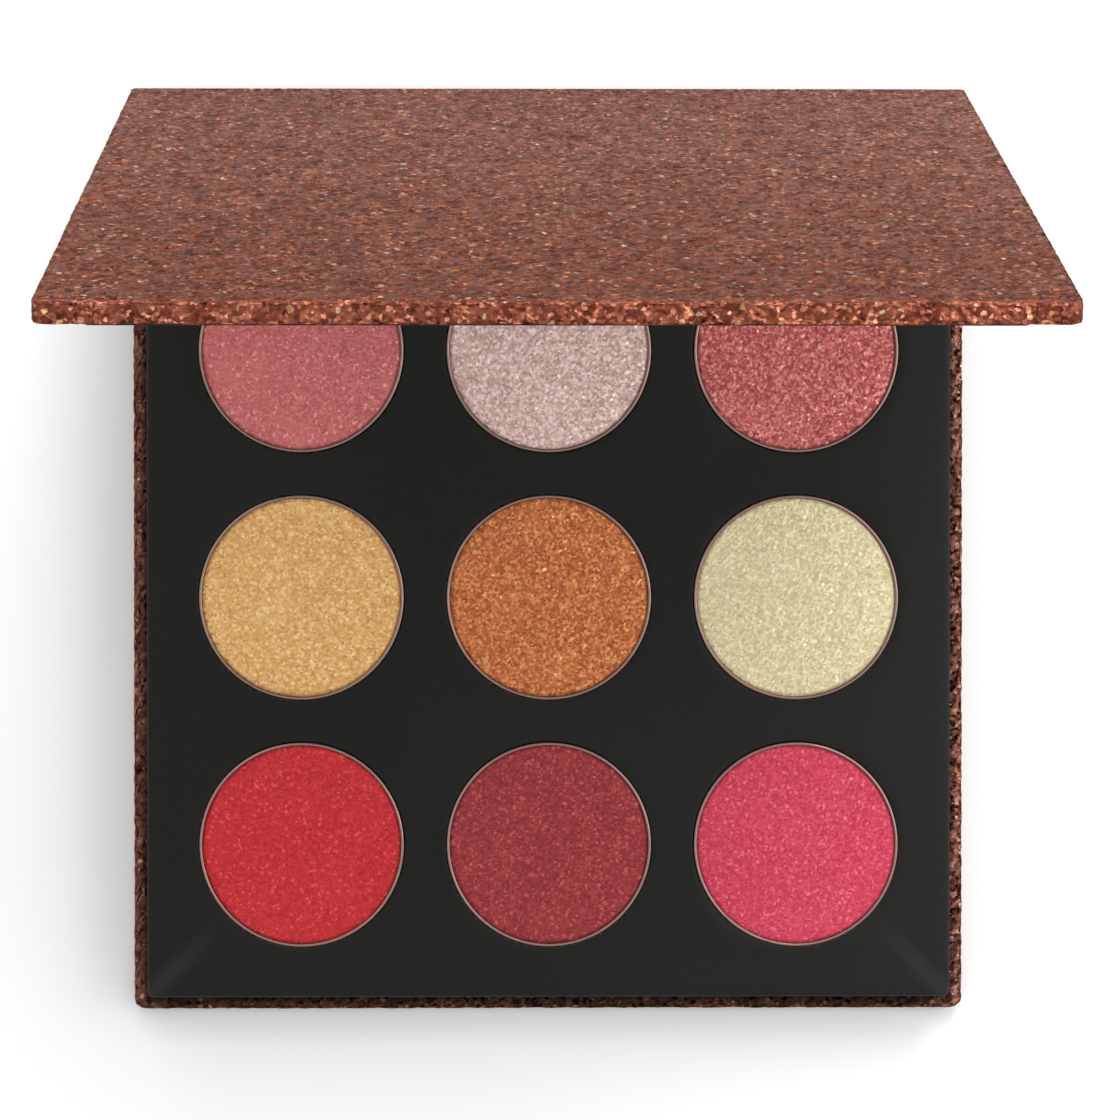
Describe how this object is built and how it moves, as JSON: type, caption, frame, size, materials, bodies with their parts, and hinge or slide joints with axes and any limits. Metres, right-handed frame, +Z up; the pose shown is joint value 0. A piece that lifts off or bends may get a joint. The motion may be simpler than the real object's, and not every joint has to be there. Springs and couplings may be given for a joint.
{
  "type": "eyeshadow palette",
  "caption": "Makeup palette: round pans of pressed powder in a black tray, in a folding glitter-paper case with a spine strip and a mirror in the lid.",
  "frame": {"origin": "middle of the back cover's underside, on the surface it lies on", "axes": "+X right, +Y towards the spine, +Z up out of the tray"},
  "size_m": [0.1066, 0.1181, 0.105],
  "materials": {
    "greyboard": "matte",
    "glitter_paper": "satin",
    "black_paper": "matte",
    "adhesive": "satin",
    "magnet": "satin",
    "mirror_glass": "polished",
    "pan_metal": "satin",
    "powder_dusty_rose": "satin",
    "powder_pink_silver": "satin",
    "powder_coral": "satin",
    "powder_gold": "satin",
    "powder_copper": "satin",
    "powder_champagne": "satin",
    "powder_red": "satin",
    "powder_burgundy": "satin",
    "powder_hot_pink": "satin"
  },
  "bodies": {
    "base": {"back_board": "greyboard", "back_wrap": "glitter_paper", "back_liner": "black_paper", "glue_pad": "adhesive", "pan_deck": "greyboard", "tray_walls": "greyboard", "platform_card": "greyboard", "tray_paper": "black_paper", "pan_glue_dots": "adhesive", "tray_magnets": "magnet", "pan_back_left": "pan_metal", "pan_back_middle": "pan_metal", "pan_back_right": "pan_metal", "pan_middle_left": "pan_metal", "pan_middle_middle": "pan_metal", "pan_middle_right": "pan_metal", "pan_front_left": "pan_metal", "pan_front_middle": "pan_metal", "pan_front_right": "pan_metal", "shade_dusty_rose": "powder_dusty_rose", "shade_pink_silver": "powder_pink_silver", "shade_coral": "powder_coral", "shade_gold": "powder_gold", "shade_copper": "powder_copper", "shade_champagne": "powder_champagne", "shade_red": "powder_red", "shade_burgundy": "powder_burgundy", "shade_hot_pink": "powder_hot_pink"},
    "spine": {"spine_board": "greyboard", "spine_wrap": "glitter_paper", "spine_infill": "greyboard", "spine_liner": "black_paper"},
    "lid": {"lid_board": "greyboard", "lid_wrap": "glitter_paper", "lid_infill": "greyboard", "lid_liner": "black_paper", "lid_magnets": "magnet", "mirror_frame": "black_paper", "mirror_film": "adhesive", "mirror": "mirror_glass"}
  },
  "joints": [
    {"name": "spine_fold", "type": "hinge", "parent": "base", "child": "spine", "pos_m": [0, 0.0531, 0.00015], "axis": [1, 0, 0], "range_deg": [-18, 72]},
    {"name": "lid_fold", "type": "hinge", "parent": "spine", "child": "lid", "pos_m": [0, 0.06485, 0.00397], "axis": [1, 0, 0], "range_deg": [-90, 0]}
  ]
}
